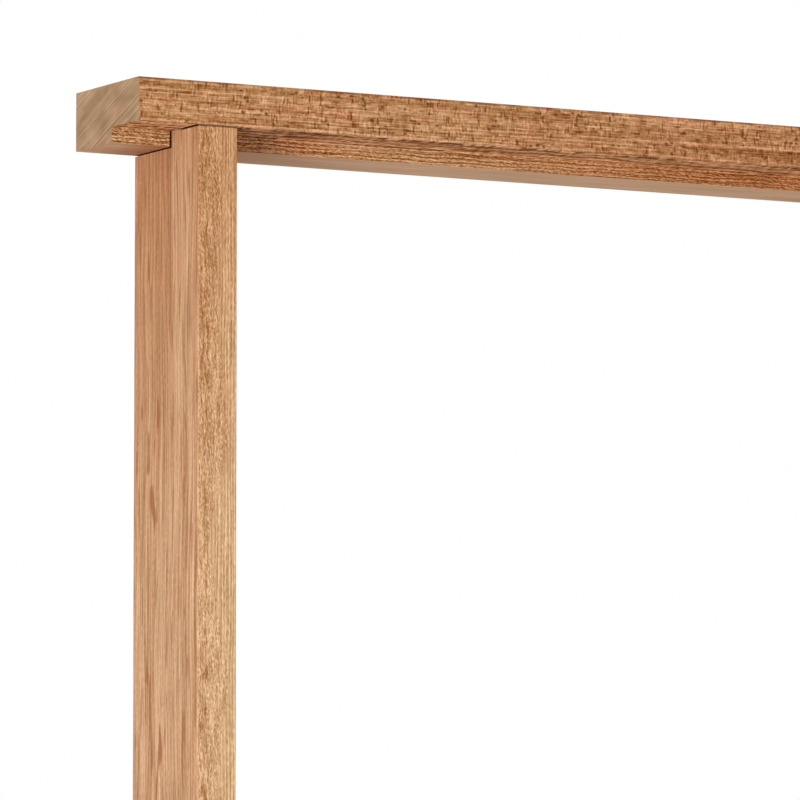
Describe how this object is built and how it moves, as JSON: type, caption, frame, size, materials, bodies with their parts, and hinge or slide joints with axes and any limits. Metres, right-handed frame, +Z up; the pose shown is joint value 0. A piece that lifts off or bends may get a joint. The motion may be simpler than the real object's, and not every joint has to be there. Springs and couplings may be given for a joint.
{
  "type": "wooden door frame",
  "caption": "Rebated hardwood door frame with a horned head and square jambs, held by wedged through mortise and tenon joints.",
  "frame": {"origin": "on the floor, midway between the jambs and midway through the frame's depth", "axes": "+Z up the jambs, +X along the head to the right as seen from the rebated side, -Y out of the rebated side where the leaf closes"},
  "size_m": [1.01, 0.107, 2.025],
  "materials": {
    "head_timber": "planed, unfinished",
    "jamb_timber": "planed, unfinished",
    "wedge_timber": "sawn, unfinished"
  },
  "bodies": {
    "root": {"head": "head_timber", "left_jamb": "jamb_timber", "right_jamb": "jamb_timber", "wedge_left_outer": "wedge_timber", "wedge_left_inner": "wedge_timber", "wedge_right_inner": "wedge_timber", "wedge_right_outer": "wedge_timber"}
  },
  "joints": []
}
